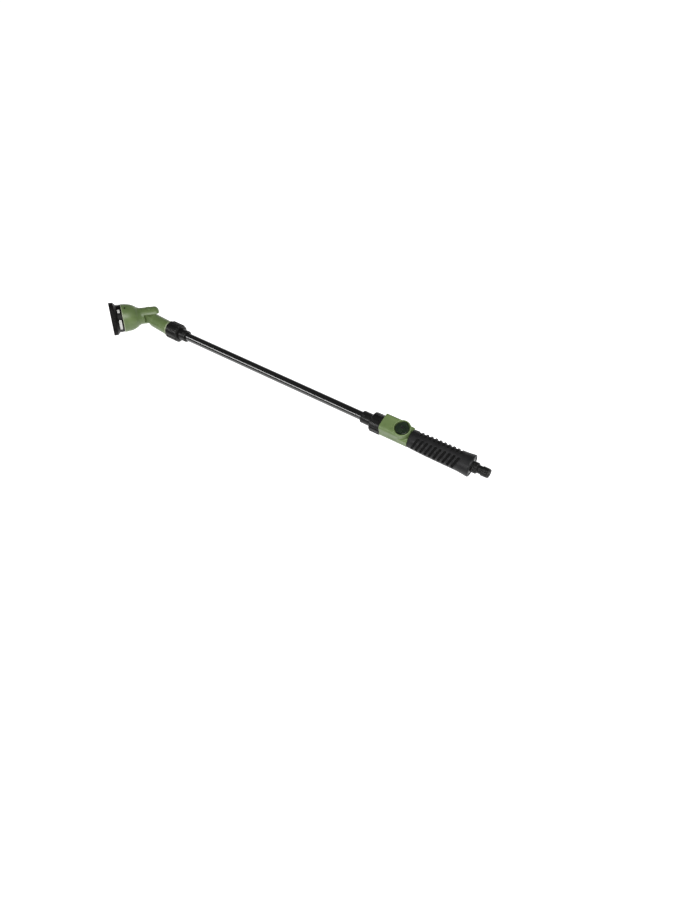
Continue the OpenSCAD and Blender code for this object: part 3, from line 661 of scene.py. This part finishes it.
def grip_stations():
    """Places along the grip: close together at the slots' walls, wider between them."""
    walls = (-2.5, -2.15, -1.9, -1.7, -1.5, -1.25, -0.9, 0, 0.9, 1.25, 1.5, 1.7, 1.9, 2.15, 2.5)
    places = [SLOT_FIRST + i * SLOT_PITCH + w for i in range(SLOTS) for w in walls]
    places += [SLOT_FIRST + (i + 0.5) * SLOT_PITCH + w
               for i in range(-1, SLOTS) for w in (-0.8, 0.8)]
    places += [GRIP_FRONT + d
               for d in (0, 0.15, 0.35, 0.6, 1, 1.6, 2.5, 3.6, 4.8, 6, 7.3, 8.6, 9.8)]
    places += [GRIP_END - d
               for d in (0, 0.15, 0.35, 0.6, 0.9, 1.3, 1.8, 2.5, 3.3, 4.2, 5.2, 6.3, 7.5, 8.8,
                         10.2, 11.6, 13, 14.4, 15.8, 17.2, 18.6, 20)]
    return sorted(places)


def grip_blank(sides=224):
    """The sleeve without its slots, on a mesh whose lines lean as the slots do."""
    solid = bmesh.new()
    stations = grip_stations()
    rings = []
    for x in stations:
        ring = []
        lean = min(1.0, (x - GRIP_FRONT) / 12, (GRIP_END - x) / 15) * math.tan(SLOT_LEAN)
        nose = max(0.0, NOSE_ROUND - (x - GRIP_FRONT)) / NOSE_ROUND
        tail = max(0.0, TAIL_ROUND - (GRIP_END - x)) / TAIL_ROUND
        ease = (NOSE_ROUND * (1 - math.sqrt(max(0, 1 - nose ** 2)))
                + TAIL_ROUND * (1 - math.sqrt(max(0, 1 - tail ** 2))))
        for k in range(sides):
            turn = 2 * math.pi * k / sides
            r = grip_radius(x)
            up = r * (math.sin(turn) * math.cos(SLOT_RISE)
                      - abs(math.cos(turn)) * math.sin(SLOT_RISE))
            slid = x + max(-LEAN_REACH, min(LEAN_REACH, up)) * lean
            r = grip_radius(slid) - ease
            ring.append(solid.verts.new(
                (slid * MM, math.cos(turn) * r * MM, math.sin(turn) * r * MM)))
        rings.append(ring)
    for x in (GRIP_END, GRIP_FRONT):
        rings.append([solid.verts.new((x * MM, math.cos(2 * math.pi * k / sides) * GRIP_BORE * MM,
                                       math.sin(2 * math.pi * k / sides) * GRIP_BORE * MM))
                      for k in range(sides)])
    for near, far in zip(rings, rings[1:] + rings[:1]):
        for k in range(sides):
            solid.faces.new((near[k], near[(k + 1) % sides], far[(k + 1) % sides], far[k]))
    return as_piece("grip_sleeve_slotted", solid)


def slot_tree():
    """A row of leaning slots sunk to one floor radius on both sides of a shape turned about X."""
    tree, given, axes = new_tree("leaning_slots", (
        "First", "Pitch", "Count", "Width", "Half length", "Floor", "Lean", "Rise", "Edge"))
    side = node_sum(tree, "ABSOLUTE", axes[1])
    low, high = (node_sum(tree, kind, given["Rise"]) for kind in ("SINE", "COSINE"))
    up = node_sum(tree, "SUBTRACT", node_sum(tree, "MULTIPLY", axes[2], high),
                  node_sum(tree, "MULTIPLY", side, low))
    out = node_sum(tree, "ADD", node_sum(tree, "MULTIPLY", side, high),
                   node_sum(tree, "MULTIPLY", axes[2], low))
    along = node_sum(tree, "SUBTRACT", axes[0], given["First"])
    foot = node_sum(tree, "SUBTRACT", along,
                    node_sum(tree, "MULTIPLY", up, node_sum(tree, "TANGENT", given["Lean"])))
    number = node_sum(tree, "ROUND", node_sum(tree, "DIVIDE", foot, given["Pitch"]))
    number = node_sum(tree, "MAXIMUM", 0.0, node_sum(
        tree, "MINIMUM", number, node_sum(tree, "SUBTRACT", given["Count"], 1.0)))
    over = node_sum(tree, "SUBTRACT", along, node_sum(tree, "MULTIPLY", number, given["Pitch"]))
    cosine, sine = (node_sum(tree, kind, given["Lean"]) for kind in ("COSINE", "SINE"))
    across = node_sum(tree, "SUBTRACT", node_sum(tree, "MULTIPLY", over, cosine),
                      node_sum(tree, "MULTIPLY", up, sine))
    length = node_sum(tree, "ADD", node_sum(tree, "MULTIPLY", over, sine),
                      node_sum(tree, "MULTIPLY", up, cosine))
    half = node_sum(tree, "MULTIPLY", given["Width"], 0.5)
    past = node_sum(tree, "MAXIMUM", 0.0, node_sum(
        tree, "SUBTRACT", node_sum(tree, "ABSOLUTE", length),
        node_sum(tree, "SUBTRACT", given["Half length"], half)))
    away = node_sum(tree, "SQRT", node_sum(tree, "ADD", node_sum(tree, "MULTIPLY", past, past),
                                           node_sum(tree, "MULTIPLY", across, across)))
    cut = node_ramp(tree, away, node_sum(tree, "SUBTRACT", half, given["Edge"]),
                    node_sum(tree, "ADD", half, given["Edge"]), 1.0, 0.0)
    cut = node_sum(tree, "MULTIPLY", cut, node_sum(tree, "GREATER_THAN", out, 0.0))
    depth = node_sum(tree, "MAXIMUM", 0.0, node_sum(
        tree, "SUBTRACT", radius_of(tree, axes), given["Floor"]))
    lift = node_sum(tree, "MULTIPLY", node_sum(tree, "MULTIPLY", cut, depth), -1.0)
    close_tree(tree, given, pushed(tree, given, axes, lift))
    return tree


grip_rubber = surface_finish("soft_grip_rubber", (0.010, 0.010, 0.0105), (0.006, 0.006, 0.0065),
                             70, (0.38, 0.52), 2200, 0.00009, level=0.22)


def paint_slot_shade(finish):
    """Paints shade into the rubber's colour down to the slots' floors, and makes them duller."""
    tree = finish.node_tree
    shader = tree.nodes["Principled BSDF"]
    place = tree.nodes.new("ShaderNodeTexCoord")
    axes = tree.nodes.new("ShaderNodeSeparateXYZ")
    tree.links.new(place.outputs["Object"], axes.inputs[0])
    unshaded_mask = node_ramp(tree, radius_of(tree, axes.outputs),
                        (SLOT_FLOOR + 0.3) * MM, (SLOT_FLOOR + 1.6) * MM)
    tone = tree.nodes.new("ShaderNodeMix")
    tone.data_type = "RGBA"
    tone.inputs[6].default_value = (*SLOT_PAINTED_SHADE, 1)
    tree.links.new(unshaded_mask, tone.inputs[0])
    tree.links.new(shader.inputs["Base Color"].links[0].from_socket, tone.inputs[7])
    tree.links.new(tone.outputs[2], shader.inputs["Base Color"])
    dulled = node_sum(tree, "MULTIPLY", node_sum(tree, "SUBTRACT", 1.0, unshaded_mask), SLOT_DULLING)
    tree.links.new(node_sum(tree, "ADD", shader.inputs["Roughness"].links[0].from_socket, dulled),
                   shader.inputs["Roughness"])


# The slots' floors get painted shade in the rubber's colour, and a higher roughness.
paint_slot_shade(grip_rubber)
sleeve = worked(grip_blank(), slot_tree(), grip_rubber, first=SLOT_FIRST * MM,
                pitch=SLOT_PITCH * MM, count=SLOTS, width=SLOT_WIDTH * MM,
                half_length=SLOT_HALF_LENGTH * MM, floor=SLOT_FLOOR * MM,
                lean=SLOT_LEAN, rise=SLOT_RISE, edge=SLOT_EDGE * MM)
fitted(sleeve, "handle", "grip_rubber", grip_rubber, "grip_sleeve")

# ---- Hose adaptor and washer ----
# A black threaded adaptor screwed into the grip's end. Twelve flutes let the fingers turn it,
# and a rubber washer seals the plug against its floor.
ADAPTOR_RADIUS = 9.85
ADAPTOR_FACE = GRIP_END + 11
ADAPTOR_SHANK = 8.5
SHANK_BACK = GRIP_END - 19
PIPE_SEAT = GRIP_END - 13
ADAPTOR_FLUTES = 12

adaptor = turned("hose_adaptor_fluted", eased([
    (SHANK_BACK, 5.85, 0.2), (SHANK_BACK, ADAPTOR_SHANK, 0.5), (GRIP_END, ADAPTOR_SHANK, 0),
    (GRIP_END, ADAPTOR_RADIUS, 0.8), (ADAPTOR_FACE - 2.4, ADAPTOR_RADIUS, 1.0),
    (ADAPTOR_FACE - 0.4, ADAPTOR_RADIUS - 1.5, 0.5), (ADAPTOR_FACE, ADAPTOR_RADIUS - 1.9, 0.2),
    (ADAPTOR_FACE, 6.92, 0.2), (GRIP_END, 6.92, 0), (GRIP_END, 4.4, 0),
    (PIPE_SEAT, 4.4, 0), (PIPE_SEAT, 5.85, 0)]), ADAPTOR_FLUTES * 16, step=0.8)
worked(adaptor, ribs, satin_black, count=ADAPTOR_FLUTES, width=1.7 * MM, height=-0.6 * MM,
       start=(GRIP_END - 1.5) * MM, end=(ADAPTOR_FACE - 1.4) * MM, edge=0.45 * MM,
       run_out=1.2 * MM, turn=0.0, least_radius=9.0 * MM)
fitted(adaptor, "handle", "black_plastic", satin_black, "hose_adaptor")
dressed("adaptor_washer", seal_rubber)

# ---- Hose plug, its seal and the inlet filter ----
# A standard plug for a garden hose connector: a locking groove, a collar, and a nose with a rubber
# ring. A punched steel disc inside keeps grit out of the valve.
PLUG_RADIUS = 8.5
PLUG_BORE = 4.4
PLUG_SHANK = 6.9
LOCK_GROOVE = PLUG_RADIUS - 1.25

plug = turned("hose_plug_moulded", eased([
    (GRIP_END + 1, PLUG_BORE, 0.2), (GRIP_END + 1, PLUG_SHANK, 0.3),
    (ADAPTOR_FACE + 0.02, PLUG_SHANK, 0), (ADAPTOR_FACE + 0.02, LOCK_GROOVE, 0.3),
    (-10, LOCK_GROOVE, 0.4),
    (-10, PLUG_RADIUS, 0.5), (0, PLUG_RADIUS, 0.6), (0, 6.1, 0.2), (2.6, 6.1, 0.2),
    (2.6, 7.4, 0.25), (4.0, 7.0, 0.6), (4.0, PLUG_BORE, 0.6)]), 96)
fitted(plug, "handle", "black_plastic", satin_black, "hose_plug")
dressed("plug_seal", seal_rubber)
dressed("inlet_filter", screw_steel)

# ---- Floor, light and camera ----
# A plain pale floor lies below the lance, far enough down for the head to clear it at both ends
# of its swivel. A long soft light stands low in front, and a wide one hangs over the handle.
SWING_ROOM = 0.08
FLOOR_Z = cad_box[0][2] - SWING_ROOM

MIDDLE_X = -0.4
FLOOR_REACH = 30.0

floor_grid = bmesh.new()
bmesh.ops.create_grid(floor_grid, x_segments=8, y_segments=8, size=FLOOR_REACH)
floor = as_piece("floor", floor_grid)
floor.data.transform(Matrix.Translation((MIDDLE_X, 0, FLOOR_Z)))
floor_white = bpy.data.materials.new("floor_white")
floor_white.use_nodes = True
paper = floor_white.node_tree.nodes["Principled BSDF"]
paper.inputs["Base Color"].default_value = (0.5, 0.5, 0.5, 1)
paper.inputs["Roughness"].default_value = 0.9
paper.inputs["Specular IOR Level"].default_value = 0.1
paper.inputs["Emission Color"].default_value = (1, 1, 1, 1)
paper.inputs["Emission Strength"].default_value = 0.9
floor.data.materials.append(floor_white)

studio = bpy.data.worlds.new("studio")
studio.use_nodes = True
sky = studio.node_tree
backdrop = sky.nodes["Background"]
backdrop.inputs["Color"].default_value = (1, 1, 1, 1)
backdrop.inputs["Strength"].default_value = 0.1
seen = sky.nodes.new("ShaderNodeBackground")
seen.inputs["Strength"].default_value = 1.0
seen.inputs["Color"].default_value = (1, 1, 1, 1)
ray = sky.nodes.new("ShaderNodeLightPath")
choice = sky.nodes.new("ShaderNodeMixShader")
sky.links.new(ray.outputs["Is Camera Ray"], choice.inputs[0])
sky.links.new(backdrop.outputs[0], choice.inputs[1])
sky.links.new(seen.outputs[0], choice.inputs[2])
sky.links.new(choice.outputs[0], sky.nodes["World Output"].inputs["Surface"])
bpy.context.scene.world = studio


def soft_light(name, towards, distance, width, height, power):
    """An area light that faces the middle of the lance from a direction."""
    lamp = bpy.data.lights.new(name, "AREA")
    lamp.shape = "RECTANGLE"
    lamp.size, lamp.size_y = width, height
    lamp.energy = power
    holder = bpy.data.objects.new(name, lamp)
    bpy.context.scene.collection.objects.link(holder)
    length = math.sqrt(sum(c * c for c in towards))
    holder.location = [c / length * distance for c in towards]
    holder.rotation_euler = holder.location.to_track_quat("Z", "Y").to_euler()
    holder.location[0] += MIDDLE_X


soft_light("front_light", (-0.357, -0.760, 0.600), 1.7, 1.8, 0.3, 18)
soft_light("overhead_light", (0.5, -0.12, 0.86), 1.9, 1.1, 1.1, 44)

camera = bpy.data.cameras.new("camera")
camera.lens = 23.38
camera.sensor_width = 36.0
camera.clip_start = 0.01
stand = bpy.data.objects.new("camera", camera)
stand.location = (0.1408, -0.4130, 0.9021)
stand.rotation_euler = [math.radians(a) for a in (26.95, 9.07, 32.18)]
bpy.context.scene.collection.objects.link(stand)
bpy.context.scene.camera = stand
bpy.context.scene.view_settings.view_transform = "Standard"
